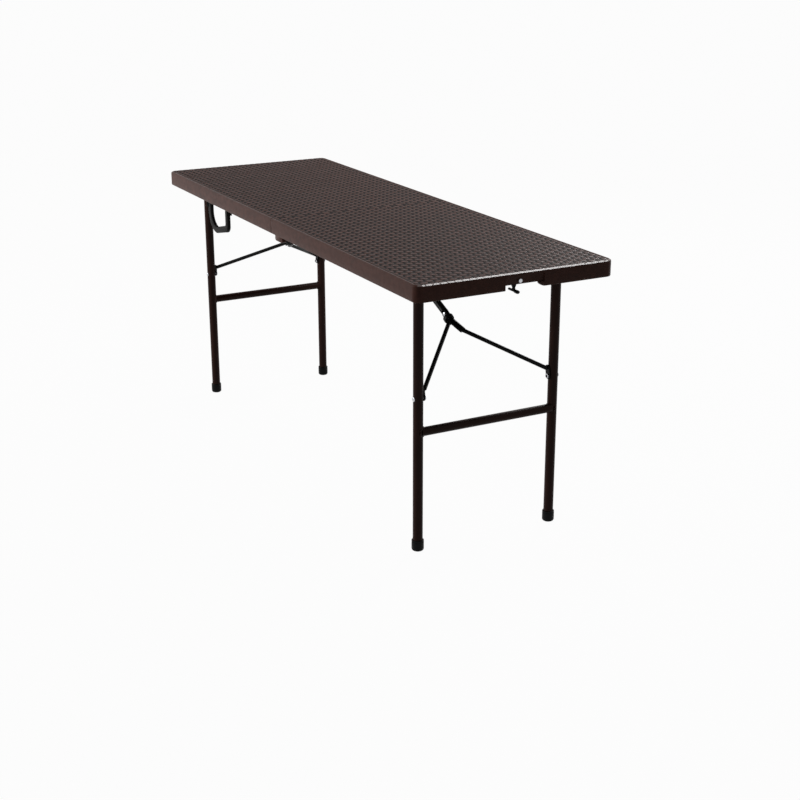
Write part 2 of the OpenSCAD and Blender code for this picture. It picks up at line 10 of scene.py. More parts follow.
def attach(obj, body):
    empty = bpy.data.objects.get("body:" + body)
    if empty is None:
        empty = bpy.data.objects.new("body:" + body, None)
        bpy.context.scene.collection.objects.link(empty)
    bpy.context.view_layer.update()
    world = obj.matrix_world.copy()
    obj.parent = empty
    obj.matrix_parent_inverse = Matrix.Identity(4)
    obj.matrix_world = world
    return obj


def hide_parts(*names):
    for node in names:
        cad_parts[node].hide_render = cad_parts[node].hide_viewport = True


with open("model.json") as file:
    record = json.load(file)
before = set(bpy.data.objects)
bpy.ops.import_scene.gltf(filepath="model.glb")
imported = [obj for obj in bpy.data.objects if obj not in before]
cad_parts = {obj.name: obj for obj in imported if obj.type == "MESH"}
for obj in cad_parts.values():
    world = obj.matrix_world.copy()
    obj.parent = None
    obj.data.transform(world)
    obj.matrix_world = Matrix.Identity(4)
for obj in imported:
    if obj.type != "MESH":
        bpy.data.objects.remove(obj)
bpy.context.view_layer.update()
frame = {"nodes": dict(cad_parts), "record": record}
nodes = frame["nodes"]
print("frame loaded,", len(nodes), "nodes")


# camera

camera = {
    "place": (3.6651, -1.8124, 1.5790),
    "turn": 62.10,  # degrees round from looking along +Y
    "down": 19.20,
    "roll": -0.08,
    "lens": 64.49,
    "sensor": 36,
    "clip": (0.05, 200),
}


def addCamera():
    data = bpy.data.cameras.new("photoCamera")
    data.lens = camera["lens"]
    data.sensor_width = camera["sensor"]
    data.clip_start, data.clip_end = camera["clip"]
    eye = bpy.data.objects.new("photoCamera", data)
    bpy.context.scene.collection.objects.link(eye)
    turn = Matrix.Rotation(math.radians(camera["turn"]), 4, "Z")
    tip = Matrix.Rotation(math.radians(90 - camera["down"]), 4, "X")
    roll = Matrix.Rotation(math.radians(camera["roll"]), 4, "Z")
    eye.matrix_world = Matrix.Translation(camera["place"]) @ turn @ tip @ roll
    bpy.context.scene.camera = eye


addCamera()


# materials: sizes of patterns are in millimetres, depths of relief in metres

softStep = {"interpolation_type": "SMOOTHSTEP"}
colourMix = {"data_type": "RGBA"}


def srgb(hexColour):
    channels = [int(hexColour[i:i + 2], 16) / 255 for i in (1, 3, 5)]
    linear = [c / 12.92 if c <= 0.04045 else ((c + 0.055) / 1.055) ** 2.4 for c in channels]
    return (*linear, 1)


def feed(tree, node, feeds):
    for socket, source in feeds.items():
        if isinstance(source, bpy.types.NodeSocket):
            tree.links.new(source, node.inputs[socket])
        else:
            node.inputs[socket].default_value = source


def addNode(tree, kind, settings=None, feeds=None):
    node = tree.nodes.new(kind)
    for name, value in (settings or {}).items():
        setattr(node, name, value)
    feed(tree, node, feeds or {})
    return node


def newMaterial(name):
    material = bpy.data.materials.new(name)
    material.use_nodes = True
    tree = material.node_tree
    shader = tree.nodes["Principled BSDF"]
    place = addNode(tree, "ShaderNodeTexCoord").outputs["Object"]
    return material, tree, shader, place


# Blow-moulded polyethylene, dyed brown: a dull waxy sheen, and painted shade that darkens the dips between
# the strands of the moulded weave nearly to black. The specular level of this and the other dark finishes
# is low, because white surroundings turn a dark surface grey at the usual level
weavePlastic = {
    "colour": "#50332c",
    "drifted": "#462d27",
    "strands": "#5a3a32",
    # colour of the painted shade in the weave's dips
    "paintedDipShade": "#0b0605",
    "drift": 285.7,  # the dye drifts slowly over a moulding
    "strand": 16.67,  # patches of tone about as wide as a strand
    "grain": 1.111,  # the real grain, near 0.2, is too fine to show and is drawn coarser
    "dark": (0.16, 0.62),  # where the painted shade in a dip starts and where it is darkest, as shares of its depth
    "dullest": 0.6,  # the share of its depth at which a dip has the full roughness
    "smooth": 0.34,
    "rough": 0.66,
    "bump": 0.12,
    "depth": 0.0004,
}


def mouldedPolyethylene():
    d = weavePlastic
    material, tree, shader, place = newMaterial("mouldedPolyethylene")
    drift = addNode(tree, "ShaderNodeTexNoise", None,
                    {"Vector": place, "Scale": 1000 / d["drift"], "Detail": 3.0, "Roughness": 0.55})
    driftShare = addNode(tree, "ShaderNodeMapRange", softStep,
                         {"Value": drift.outputs["Fac"], "From Min": 0.35, "From Max": 0.65})
    base = addNode(tree, "ShaderNodeMix", colourMix,
                   {0: driftShare.outputs["Result"], 6: srgb(d["colour"]), 7: srgb(d["drifted"])})
    strand = addNode(tree, "ShaderNodeTexNoise", None,
                     {"Vector": place, "Scale": 1000 / d["strand"], "Detail": 2.0})
    strandShare = addNode(tree, "ShaderNodeMapRange", softStep,
                          {"Value": strand.outputs["Fac"], "From Min": 0.3, "From Max": 0.7})
    toned = addNode(tree, "ShaderNodeMix", colourMix,
                    {0: strandShare.outputs["Result"], 6: base.outputs[2], 7: srgb(d["strands"])})
    dip = addNode(tree, "ShaderNodeAttribute", {"attribute_name": "dip"})
    # painted shade: the deeper a dip, the nearer its colour comes to nearly black
    paintedShadeShare = addNode(tree, "ShaderNodeMapRange", softStep,
                       {"Value": dip.outputs["Fac"], "From Min": d["dark"][0], "From Max": d["dark"][1]})
    shadedColour = addNode(tree, "ShaderNodeMix", colourMix,
                     {0: paintedShadeShare.outputs["Result"], 6: toned.outputs[2], 7: srgb(d["paintedDipShade"])})
    rough = addNode(tree, "ShaderNodeMapRange", None,
                    {"Value": dip.outputs["Fac"], "From Max": d["dullest"],
                     "To Min": d["smooth"], "To Max": d["rough"]})
    grain = addNode(tree, "ShaderNodeTexNoise", None,
                    {"Vector": place, "Scale": 1000 / d["grain"], "Detail": 2.0})
    bump = addNode(tree, "ShaderNodeBump", None,
                   {"Strength": d["bump"], "Distance": d["depth"], "Height": grain.outputs["Fac"]})
    feed(tree, shader, {"Base Color": shadedColour.outputs[2], "Roughness": rough.outputs["Result"],
                        "Normal": bump.outputs["Normal"], "IOR": 1.52, "Specular IOR Level": 0.06})
    return material


# a finish whose tone and gloss change in patches, with a fine relief over it
def patchyFinish(name, d):
    material, tree, shader, place = newMaterial(name)
    patches = addNode(tree, "ShaderNodeTexNoise", None,
                      {"Vector": place, "Scale": 1000 / d["patch"], "Detail": d["patchDetail"]})
    share = addNode(tree, "ShaderNodeMapRange", softStep,
                    {"Value": patches.outputs["Fac"], "From Min": d["from"], "From Max": d["to"]})
    tone = addNode(tree, "ShaderNodeMix", colourMix,
                   {0: share.outputs["Result"], 6: srgb(d["colour"]), 7: srgb(d["patchColour"])})
    rough = addNode(tree, "ShaderNodeMapRange", None,
                    {"Value": patches.outputs["Fac"], "To Min": d["smooth"], "To Max": d["rough"]})
    relief = addNode(tree, "ShaderNodeTexNoise", None,
                     {"Vector": place, "Scale": 1000 / d["relief"], "Detail": d["reliefDetail"]})
    bump = addNode(tree, "ShaderNodeBump", None,
                   {"Strength": d["bump"], "Distance": d["depth"], "Height": relief.outputs["Fac"]})
    feed(tree, shader, {"Base Color": tone.outputs[2], "Roughness": rough.outputs["Result"],
                        "Normal": bump.outputs["Normal"], **d["shader"]})
    return material


# The same polyethylene on the upper edge of both ends, rubbed smooth by hands and by stacking; its paler
# colour is partly wear and partly a painted highlight along that edge
rubbedAndHighlitPolyethylene = {
    # paler than the top: partly wear, partly a painted highlight
    "colour": "#563c35",
    "patchColour": "#67504a",
    "patch": 22.22,  # a fingertip's width
    "patchDetail": 3.0,
    "from": 0.3,
    "to": 0.7,
    "smooth": 0.20,
    "rough": 0.28,
    "relief": 22.22,
    "reliefDetail": 3.0,
    "bump": 0.06,
    "depth": 0.0003,
    "shader": {"IOR": 1.52},
}

# Powder-coated mild steel, near-black brown: smooth, with a faint orange peel and a soft long highlight
brownPowderCoat = {
    "colour": "#2e1b16",
    "patchColour": "#38221c",
    "patch": 111.1,  # where the coat lay on thicker
    "patchDetail": 4.0,
    "from": 0.35,
    "to": 0.7,
    "smooth": 0.25,
    "rough": 0.37,
    "relief": 2.381,  # orange peel
    "reliefDetail": 1.5,
    "bump": 0.10,
    "depth": 0.0005,
    "shader": {"Specular IOR Level": 0.06},
}

# The same coat in black, a little duller
blackPowderCoat = {**brownPowderCoat, "colour": "#0c0b0b", "patchColour": "#121111", "smooth": 0.27,
                   "rough": 0.39}

# Zinc-plated steel: pale grey, slightly cloudy, with fine marks from the tumbling barrel
zincPlatedSteel = {
    "colour": "#c9c9cc",
    "patchColour": "#a9abb0",
    "patch": 6.25,
    "patchDetail": 3.0,
    "from": 0.3,
    "to": 0.7,
    "smooth": 0.24,
    "rough": 0.38,
    "relief": 0.625,  # the real marks, near 0.1, are too fine to show and are drawn coarser
    "reliefDetail": 2.0,
    "bump": 0.08,
    "depth": 0.0002,
    "shader": {"Metallic": 1.0},
}

# Injection-moulded black plastic for the grip: matt, with the grain of a spark-eroded mould
blackGripPlastic = {
    "colour": "#0d0c0c",
    "patchColour": "#171616",
    "patch": 41.67,  # worn by the palm
    "patchDetail": 3.0,
    "from": 0.4,
    "to": 0.8,
    "smooth": 0.46,
    "rough": 0.58,
    "relief": 1.1,  # the real grain, near 0.1, is too fine to show and is drawn coarser, also on the caps
    "reliefDetail": 2.0,
    "bump": 0.3,
    "depth": 0.0003,
    "shader": {"Specular IOR Level": 0.08},
}

# The same plastic for caps, rings and the latch: a smoother mould, so a little glossier
blackCapPlastic = {**blackGripPlastic, "colour": "#0b0b0b", "smooth": 0.38, "rough": 0.50, "relief": 0.9,
                   "depth": 0.00015}

brownPlastic = mouldedPolyethylene()
rubbedAndHighlitPlastic = patchyFinish("rubbedAndHighlitPolyethylene", rubbedAndHighlitPolyethylene)
brownCoat = patchyFinish("brownPowderCoat", brownPowderCoat)
blackCoat = patchyFinish("blackPowderCoat", blackPowderCoat)
zinc = patchyFinish("zincPlatedSteel", zincPlatedSteel)
gripPlastic = patchyFinish("blackGripPlastic", blackGripPlastic)
capPlastic = patchyFinish("blackCapPlastic", blackCapPlastic)
finishes = {
    "moulded_plastic": brownPlastic,
    "dark_steel": brownCoat,
    "black_steel": blackCoat,
    "zinc_plate": zinc,
    "black_plastic": gripPlastic,
}
for row in frame["record"]["subparts"]:  # the CAD nodes
    piece = nodes[row["node"]]
    for slot in piece.material_slots:
        slot.material = finishes[row["material_slot"]]
    if not piece.material_slots:
        piece.data.materials.append(finishes[row["material_slot"]])
print("materials made,", len(bpy.data.materials), "in all")


# modelling helpers

tiny = 1e-5  # places closer than this are the same
mirrorX = Matrix.Diagonal((-1, 1, 1, 1))
mirrorY = Matrix.Diagonal((1, -1, 1, 1))


def rest():
    if bpy.context.mode != "OBJECT":
        bpy.ops.object.mode_set(mode="OBJECT")
    bpy.ops.object.select_all(action="DESELECT")


def take(piece):
    rest()
    bpy.context.view_layer.objects.active = piece
    piece.select_set(True)


def added(name):
    piece = bpy.context.object
    piece.name = name
    piece.data.name = name
    return piece


def placed(name):
    bpy.ops.object.transform_apply(location=True, rotation=True, scale=True)
    return added(name)


def block(name, low, high):
    rest()
    bpy.ops.mesh.primitive_cube_add(size=1, location=[(a + b) / 2 for a, b in zip(low, high)])
    bpy.context.object.scale = [b - a for a, b in zip(low, high)]
    return placed(name)


def rod(name, axis, start, end, radius, sides):
    rest()
    turn = {"X": (0, math.pi / 2, 0), "Y": (math.pi / 2, 0, 0)}[axis]
    middle = [(a + b) / 2 for a, b in zip(start, end)]
    length = (Vector(end) - Vector(start)).length
    bpy.ops.mesh.primitive_cylinder_add(vertices=sides, radius=radius, depth=length,
                                        location=middle, rotation=turn)
    return placed(name)


def edit(piece, kind="FACE"):
    take(piece)
    bpy.ops.object.mode_set(mode="EDIT")
    bpy.ops.mesh.select_mode(type=kind)
    bpy.ops.mesh.select_all(action="DESELECT")


# test(middle, normal) says which faces are picked
def pickFaces(piece, test):
    mesh = bmesh.from_edit_mesh(piece.data)
    for face in mesh.faces:
        face.select = test(face.calc_center_median(), face.normal)
    mesh.select_flush_mode()
    bmesh.update_edit_mesh(piece.data)


# test(middle, vector) says which edges are bevelled
def bevelEdges(piece, test, width, segments):
    edit(piece, "EDGE")
    mesh = bmesh.from_edit_mesh(piece.data)
    for edge in mesh.edges:
        a, b = (v.co for v in edge.verts)
        edge.select = test((a + b) / 2, b - a)
    mesh.select_flush_mode()
    bmesh.update_edit_mesh(piece.data)
    bpy.ops.mesh.bevel(offset=width, segments=segments, profile=0.5, affect="EDGES")
    rest()


def carve(piece, cutter, way="DIFFERENCE"):
    take(piece)
    change = piece.modifiers.new("carve", "BOOLEAN")
    change.operation = way
    change.object = cutter
    change.solver = "MANIFOLD"
    bpy.ops.object.modifier_apply(modifier=change.name)
    bpy.data.objects.remove(cutter)
    return piece


def merge(pieces, name):
    take(pieces[0])
    for other in pieces[1:]:
        other.select_set(True)
    if len(pieces) > 1:
        bpy.ops.object.join()
    return added(name)


def copyTo(piece, name, change):
    twin = piece.copy()
    twin.data = piece.data.copy()
    twin.name = name
    twin.data.name = name
    bpy.context.scene.collection.objects.link(twin)
    twin.data.transform(change)
    if change.determinant() < 0:
        twin.data.flip_normals()
    return twin


def turned(name, rings, sides=32):
    (r0, z0), (r1, z1) = rings[:2]
    rest()
    bpy.ops.mesh.primitive_cone_add(vertices=sides, radius1=r0, radius2=r1, depth=z1 - z0,
                                    location=(0, 0, (z0 + z1) / 2))
    piece = placed(name)
    edit(piece)
    pickFaces(piece, lambda c, n: n.z > 0.99 and abs(c.z - z1) < 1e-6)
    for r, z in rings[2:]:
        bpy.ops.mesh.extrude_region_move(TRANSFORM_OT_translate={"value": (0, 0, z - z1)})
        bpy.ops.transform.resize(value=(r / r1, r / r1, 1), center_override=(0, 0, z))
        r1, z1 = r, z
    rest()
    return piece


# rings of a domed head, from shares of its radius and of its height
def domeRings(radius, low, high, shares):
    return [(radius * r, low + (high - low) * z) for r, z in shares]


def aimed(point, direction):
    turn = Vector((0, 0, 1)).rotation_difference(Vector(direction)).to_matrix().to_4x4()
    return Matrix.Translation(point) @ turn


def finish(piece, body, material, replaced, angle=35):
    take(piece)
    bpy.ops.object.shade_smooth_by_angle(angle=math.radians(angle))
    piece.data.materials.clear()
    piece.data.materials.append(material)
    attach(piece, body)
    if replaced:
        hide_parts(*replaced)
    return piece


def onBothHalves(piece, name, body, material, node, angle=35):
    twin = copyTo(piece, "far" + name, mirrorX)
    piece.name = piece.data.name = "near" + name
    for thing, half in ((piece, "near"), (twin, "far")):
        finish(thing, f"{half}_{body}", material, [f"{half}_{node}"] if node else [], angle)


# the two halves of the top, in metres

halfTop = {
    "seam": 0.0005,  # half the gap between the two halves
    "seamDip": 0.0005,  # how far the edge at the seam is pulled down
    "end": 0.850,
    "halfWidth": 0.280,
    "top": 0.740,
    "rim": 0.697,
    "corner": 0.020,
    "lowerEdge": 0.0025,
    "upperEdge": 0.005,
    # the upper edge is a rounded chamfer: at these shares of the way round, its tilt in degrees and how
    # far out and down it has come
    "edgeAt": (0, 0.25, 0.75, 1),
    "edgeTilt": (0, 34, 38, 90),
    "edgeOut": (0, 0.12, 0.92, 1),
    "edgeDown": (0, 0.02, 0.57, 1),
    "wall": 0.007,
    "panel": 0.008,
    "seamWall": 0.007,
    "hollowRound": 0.0015,
    "railIn": 0.236,
    "channel": 0.0013,  # depth of the groove inside the rim
    "channelStart": (0.0066, 0.0084),  # how far inside the outline it begins and is at full depth
    "weaveStart": (0.0105, 0.0125),  # the same for the weave
    "nickDepth": 0.0006,  # nicks between the beads along an end, one at each strand's border
    "nickWidth": 0.16,  # as a share of half a strand
    "notchY": -0.036,
    "notchWidth": 0.120,
    "notchHeight": 0.013,
    "notchSweep": 2,  # one end of the notch is an ellipse, so many times as long as it is high
}
weave = {
    "along": 0.0197,  # width of a strand that runs along the table
    "across": 0.0123,
    "swing": 0.0013,  # rise and fall of a strand
    "crown": 0.0014,  # how round a strand across the table is
    "flatter": 0.55,  # how much of that roundness a strand along it has
    "sunk": 0.0009,  # how far the strands across lie below the others
    "fill": 0.97,  # how much of its width a strand's round takes
    "linesAlong": 7,  # mesh lines to one strand
    "linesAcross": 5,
    "dipDepth": 0.0024,  # the depth that counts as a whole dip
    "dipInset": 0.0062,  # dips are marked no nearer to the outline than this
    "dipLowest": 0.0038,  # and no further below the top
}
border = {
    "seamLine": 0.0015,  # the first mesh line beside the seam
    "lastEven": 0.0095,  # the even mesh lines stop so far inside the upper edge
    "inside": (0.008, 0.006, 0.0045, 0.003, 0.0015, 0),  # and these follow them
    "upper": (0.25, 0.5, 0.75, 1),  # shares of the way round the upper edge
    "rim": (0.15, 0.5, 1),  # down the rim
    "lower": (0.5, 1),  # and round the lower edge
}


def smooth(value, low, high):
    t = np.clip((value - low) / (high - low), 0, 1)
    return t * t * (3 - 2 * t)


# depth of the moulded weave under the top plane: strands along the table over and under strands across it
def weaveDepth(x, y):
    d = weave
    rows, columns = y / d["along"], x / d["across"]
    i, j = np.floor(rows), np.floor(columns)
    v, u = 2 * (rows - i) - 1, 2 * (columns - j) - 1
    roundAlong = d["flatter"] * d["crown"] * (1 - np.sqrt(1 - (d["fill"] * v) ** 2))
    roundAcross = d["crown"] * (1 - np.sqrt(1 - (d["fill"] * u) ** 2))
    along = d["swing"] * np.cos(np.pi * (columns - 0.5 + i)) - roundAlong
    across = -d["swing"] * np.cos(np.pi * (rows - 0.5 + j)) - roundAcross - d["sunk"]
    return d["swing"] - np.maximum(along, across)


def evenLines(step, first, limit):
    return [k * step for k in range(first, math.ceil(limit / step))]


def sheetLines():
    d = halfTop
    arc = d["upperEdge"] * math.pi / 2
    foot = d["lowerEdge"] * math.pi / 2
    flat = d["corner"] - d["upperEdge"]
    drop = d["top"] - d["rim"] - d["upperEdge"] - d["lowerEdge"]
    outer = [flat - m for m in border["inside"]]
    outer += [flat + arc * k for k in border["upper"]]
    outer += [flat + arc + drop * k for k in border["rim"]]
    outer += [flat + arc + drop + foot * k for k in border["lower"]]
    coreX, coreY = d["end"] - d["corner"], d["halfWidth"] - d["corner"]
    woven = flat - border["lastEven"]
    along = [d["seam"], border["seamLine"]]
    along += evenLines(weave["across"] / weave["linesAcross"], 2, coreX + woven) + [coreX + m for m in outer]
    side = evenLines(weave["along"] / weave["linesAlong"], 1, coreY + woven) + [coreY + m for m in outer]
    return np.array(along), np.array([-y for y in reversed(side)] + [0] + side)


# where a point of the flat sheet goes: over the flat top, round the upper edge and down the rim
def foldSheet(a, b):
    d = halfTop
    coreX, coreY = d["end"] - d["corner"], d["halfWidth"] - d["corner"]
    upper, lower = d["upperEdge"], d["lowerEdge"]
    u, v = np.clip(a - coreX, 0, None), np.clip(np.abs(b) - coreY, 0, None)
    m, h = np.maximum(u, v), np.hypot(u, v)
    dirX, dirY = u / np.maximum(h, 1e-9), v / np.maximum(h, 1e-9) * np.sign(b)
    flat = d["corner"] - upper
    drop = d["top"] - d["rim"] - upper - lower
    wayRound = np.clip((m - flat) / (upper * math.pi / 2), 0, 1)
    tilt = np.interp(wayRound, d["edgeAt"], np.radians(d["edgeTilt"]))
    edgeOut = upper * np.interp(wayRound, d["edgeAt"], d["edgeOut"])
    edgeDown = upper * np.interp(wayRound, d["edgeAt"], d["edgeDown"])
    down = np.clip(m - flat - upper * math.pi / 2, 0, drop)
    tuck = np.clip((m - flat - upper * math.pi / 2 - drop) / lower, 0, math.pi / 2)
    out = np.minimum(m, flat) + edgeOut - lower * (1 - np.cos(tuck))
    x = np.minimum(a, coreX) + dirX * out
    y = np.sign(b) * np.minimum(np.abs(b), coreY) + dirY * out
    z = d["top"] - edgeDown - down - lower * np.sin(tuck)
    inset = np.where(m > 0, d["corner"] - out, d["corner"] + np.minimum(coreX - a, coreY - np.abs(b)))
    woven = smooth(inset, *d["weaveStart"])
    sunken = smooth(inset, *d["channelStart"])
    depth = woven * weaveDepth(x, y) + sunken * (1 - woven) * d["channel"]
    toBorder = 1 - np.abs(2 * (y / weave["along"] % 1) - 1)
    nick = np.exp(-(toBorder / d["nickWidth"]) ** 2) * np.abs(dirX) * (1 - sunken)
    depth = depth + d["nickDepth"] * nick * (down <= 0) + d["seamDip"] * (a < 2 * d["seam"])
    return (x - depth * np.sin(tilt) * dirX, y - depth * np.sin(tilt) * dirY, z - depth * np.cos(tilt))


def makeSheet(name):
    along, across = sheetLines()
    rest()
    bpy.ops.mesh.primitive_grid_add(x_subdivisions=len(along) - 1, y_subdivisions=len(across) - 1, size=1)
    sheet = added(name)
    place = np.zeros(len(sheet.data.vertices) * 3)
    sheet.data.vertices.foreach_get("co", place)
    place = place.reshape(-1, 3)
    i = np.round((place[:, 0] + 0.5) * (len(along) - 1)).astype(int)
    j = np.round((place[:, 1] + 0.5) * (len(across) - 1)).astype(int)
    x, y, z = foldSheet(along[i], across[j])
    sheet.data.vertices.foreach_set("co", np.stack([x, y, z], 1).ravel())
    sheet.data.update()
    edit(sheet, "VERT")
    mesh = bmesh.from_edit_mesh(sheet.data)
    for edge in mesh.edges:
        if edge.is_boundary and max(v.co.x for v in edge.verts) < 2 * halfTop["seam"]:
            edge.select = True
            for v in edge.verts:
                v.select = True
    bmesh.update_edit_mesh(sheet.data)
    bpy.ops.mesh.edge_face_add()  # the wall at the seam
    bpy.ops.mesh.select_all(action="DESELECT")
    bpy.ops.mesh.select_non_manifold()
    bpy.ops.mesh.edge_face_add()  # the underside, still closed
    bpy.ops.mesh.select_all(action="SELECT")
    bpy.ops.mesh.normals_make_consistent(inside=False)
    rest()
    return sheet


def hollowCutter():
    d = halfTop
    hollow = block("hollow", (d["seam"] + d["seamWall"], -d["halfWidth"] + d["wall"], d["rim"] - 0.01),
                   (d["end"] - d["wall"], d["halfWidth"] - d["wall"], d["top"] - d["panel"]))
    bevelEdges(hollow, lambda c, v: c.x > d["end"] / 2 and abs(v.z) > 0.02, d["corner"] - d["wall"], 10)
    bevelEdges(hollow, lambda c, v: c.z > d["rim"] and abs(v.z) < tiny, d["hollowRound"], 2)
    return hollow


# openings in the seam wall for the centre hinge
def seamOpenings():
    d = halfTop
    opening = block("seamOpening", (-0.01, d["railIn"], d["rim"] - 0.01),
                    (d["seam"] + d["seamWall"] + 0.001, d["halfWidth"] - d["wall"], d["top"] - d["panel"]))
    return merge([opening, copyTo(opening, "seamOpeningTwin", mirrorY)], "seamOpenings")


def notchCutter():
    d = halfTop
    left, high, over = d["notchY"], d["notchHeight"], 0.001
    right = left + d["notchWidth"]
    notch = block("notch", (d["end"] - d["wall"] - over, left, d["rim"] - over),
                  (d["end"] + over, right, d["rim"] + high))
    sweep = rod("notchSweep", "X", (d["end"] - 0.02, right, d["rim"] + high),
                (d["end"] + 0.01, right, d["rim"] + high), high, 96)
    middle = Matrix.Translation((0, right, 0))
    sweep.data.transform(middle @ Matrix.Diagonal((1, d["notchSweep"], 1, 1)) @ middle.inverted())
    return carve(notch, sweep)


# shallow pocket in the end wall above the notch, where the latch's screw sits
pocket = {
    "from": -0.036,
    "to": 0.074,
    "low": 0.709,
    "high": 0.7325,
    "depth": 0.0042,
    "corner": 0.005,
    "round": 0.0015,
}


def pocketCutter():
    d = pocket
    floor = halfTop["end"] - d["depth"]
    piece = block("pocket", (floor, d["from"], d["low"]), (halfTop["end"] + 0.003, d["to"], d["high"]))
    bevelEdges(piece, lambda c, v: abs(v.x) > 0.005 and abs(c.z - d["high"]) < tiny, d["corner"], 4)
    bevelEdges(piece, lambda c, v: abs(c.x - floor) < tiny and c.z > d["low"] + 0.001, d["round"], 2)
    return piece


# shallow cones where the two skins of the blow moulding are pinched together
tackOffs = {
    "start": 0.058,
    "along": 0.0588,
    "across": 0.0535,
    "rows": range(13),
    "columns": range(-4, 5),
    "mouth": 0.0085,
    "floor": 0.0045,
    "depth": 0.0035,
    "hangerX": 0.2895,  # none under the link's hanger
    "hangerHalfLength": 0.02,
    "hangerHalfWidth": 0.06,
}


def tackOffCutter():
    d = tackOffs
    under = halfTop["top"] - halfTop["panel"] - 0.001
    high = d["depth"] + 0.001
    rest()
    bpy.ops.mesh.primitive_cone_add(vertices=20, radius1=d["mouth"], radius2=d["floor"], depth=high,
                                    location=(0, 0, under + high / 2))
    cone = placed("tackOff")
    cones = []
    for i in d["rows"]:
        for j in d["columns"]:
            x, y = d["start"] + i * d["along"], j * d["across"]
            if abs(x - d["hangerX"]) > d["hangerHalfLength"] or abs(y) > d["hangerHalfWidth"]:
                cones.append(copyTo(cone, "tackOffCopy", Matrix.Translation((x, y, 0))))
    bpy.data.objects.remove(cone)
    return merge(cones, "tackOffs")


# stop lugs under the rim, beside the seam
lug = {
    "start": 0.020,
    "length": 0.050,
    "inner": 0.2645,
    "thickness": 0.013,
    "drop": 0.015,
    "corner": 0.007,
    "round": 0.0012,
}


def makeLug():
    d = lug
    rim = halfTop["rim"]
    piece = block("lug", (d["start"], -d["inner"] - d["thickness"], rim - d["drop"]),
                  (d["start"] + d["length"], -d["inner"], rim + 0.001))
    bevelEdges(piece, lambda c, v: c.z < rim and abs(v.y) > 0.005, d["corner"], 6)
    bevelEdges(piece, lambda c, v: c.z < rim and abs(v.y) < 0.001, d["round"], 2)
    return piece


# the weave's dips, from 0 on top of a strand to 1 at the bottom, for the painted shade in the colour and for
# the gloss
def markDips(piece):
    place = np.zeros(len(piece.data.vertices) * 3)
    piece.data.vertices.foreach_get("co", place)
    x, y, z = place.reshape(-1, 3).T
    inside = np.maximum(np.abs(x) - halfTop["end"], np.abs(y) - halfTop["halfWidth"]) < -weave["dipInset"]
    inside &= z > halfTop["top"] - weave["dipLowest"]
    dip = np.where(inside, np.clip((halfTop["top"] - z) / weave["dipDepth"], 0, 1), 0)
    attribute = piece.data.attributes.new("dip", "FLOAT", "POINT")
    attribute.data.foreach_set("value", dip.astype(np.float32))


def makeHalfTop(name, side):
    top = makeSheet(name)
    for cutter in (hollowCutter, seamOpenings, notchCutter, pocketCutter, tackOffCutter):
        carve(top, cutter())
    if side > 0:
        lugs = makeLug()
        top = merge([top, lugs, copyTo(lugs, "lugTwin", mirrorY)], name)
    else:
        top.data.transform(mirrorX)
        top.data.flip_normals()
    markDips(top)
    return top


# how much of the upper edge's width takes the paler rubbed finish with its painted highlight, and between
# which heights of a face's normal
rubbedAndHighlitEdge = {"inset": 0.92, "normalFrom": 0.6, "normalTo": 0.95}


# the chamfered band on the upper edge of an end takes the rubbed finish, whose paler colour is partly wear
# and partly a painted highlight
def rubAndHighlightEdges(top):
    d = halfTop
    top.data.materials.append(rubbedAndHighlitPlastic)
    mesh = bmesh.new()
    mesh.from_mesh(top.data)
    for face in mesh.faces:
        x, y, z = face.calc_center_median()
        u, v = abs(x) - d["end"] + d["corner"], abs(y) - d["halfWidth"] + d["corner"]
        inset = d["corner"] - (math.hypot(u, v) if u > 0 and v > 0 else max(u, v))
        onEdge = inset < rubbedAndHighlitEdge["inset"] * d["upperEdge"] and z > d["top"] - d["upperEdge"]
        sloping = rubbedAndHighlitEdge["normalFrom"] < face.normal.z < rubbedAndHighlitEdge["normalTo"]
        if onEdge and sloping and abs(face.normal.x) > abs(face.normal.y):
            face.material_index = 1
    for edge in mesh.edges:
        if len({face.material_index for face in edge.link_faces}) > 1:
            edge.smooth = False
    mesh.to_mesh(top.data)
    mesh.free()


nearTop = finish(makeHalfTop("nearTop", 1), "near_half", brownPlastic, ["near_top"], 38)
farTop = finish(makeHalfTop("farTop", -1), "far_half", brownPlastic, ["far_top"], 38)
rubAndHighlightEdges(nearTop)
rubAndHighlightEdges(farTop)
print("tops made,", len(nearTop.data.polygons), "and", len(farTop.data.polygons), "faces")


# turned and pressed fittings: a profile is a list of rings, each with its radius and height

leg = {"x": 0.716, "y": 0.200, "radius": 0.013}
footCap = [(0.0110, 0), (0.0129, 0.0006), (0.0146, 0.0019), (0.0156, 0.0036), (0.0160, 0.0056),
           (0.0160, 0.0236), (0.0154, 0.0242), (0.0154, 0.0250), (0.0160, 0.0256), (0.0160, 0.0284),
           (0.0155, 0.0295), (0.0146, 0.0300), (0.0131, 0.0297), (0.0131, 0.0040)]


def makeFeet():
    cap = turned("footCap", footCap, 40)
    cap.data.transform(Matrix.Translation((leg["x"], -leg["y"], 0)))
    feet = merge([cap, copyTo(cap, "cap", mirrorY)], "feet")
    onBothHalves(feet, "Feet", "leg_frame", capPlastic, "feet")


makeFeet()

braceBolt = {
    "z": 0.412,
    "shaft": 0.0040,
    "headFrom": 0.21308,
    "headTo": 0.2150,
    "head": 0.0062,
    "dome": ((1, 0), (1, 0.25), (0.9, 0.6), (0.66, 0.86), (0.35, 1)),
    "nutFrom": 0.1799,
    "nutTo": 0.1829,
    "nut": 0.0065,
    "nutRound": 0.0006,
}


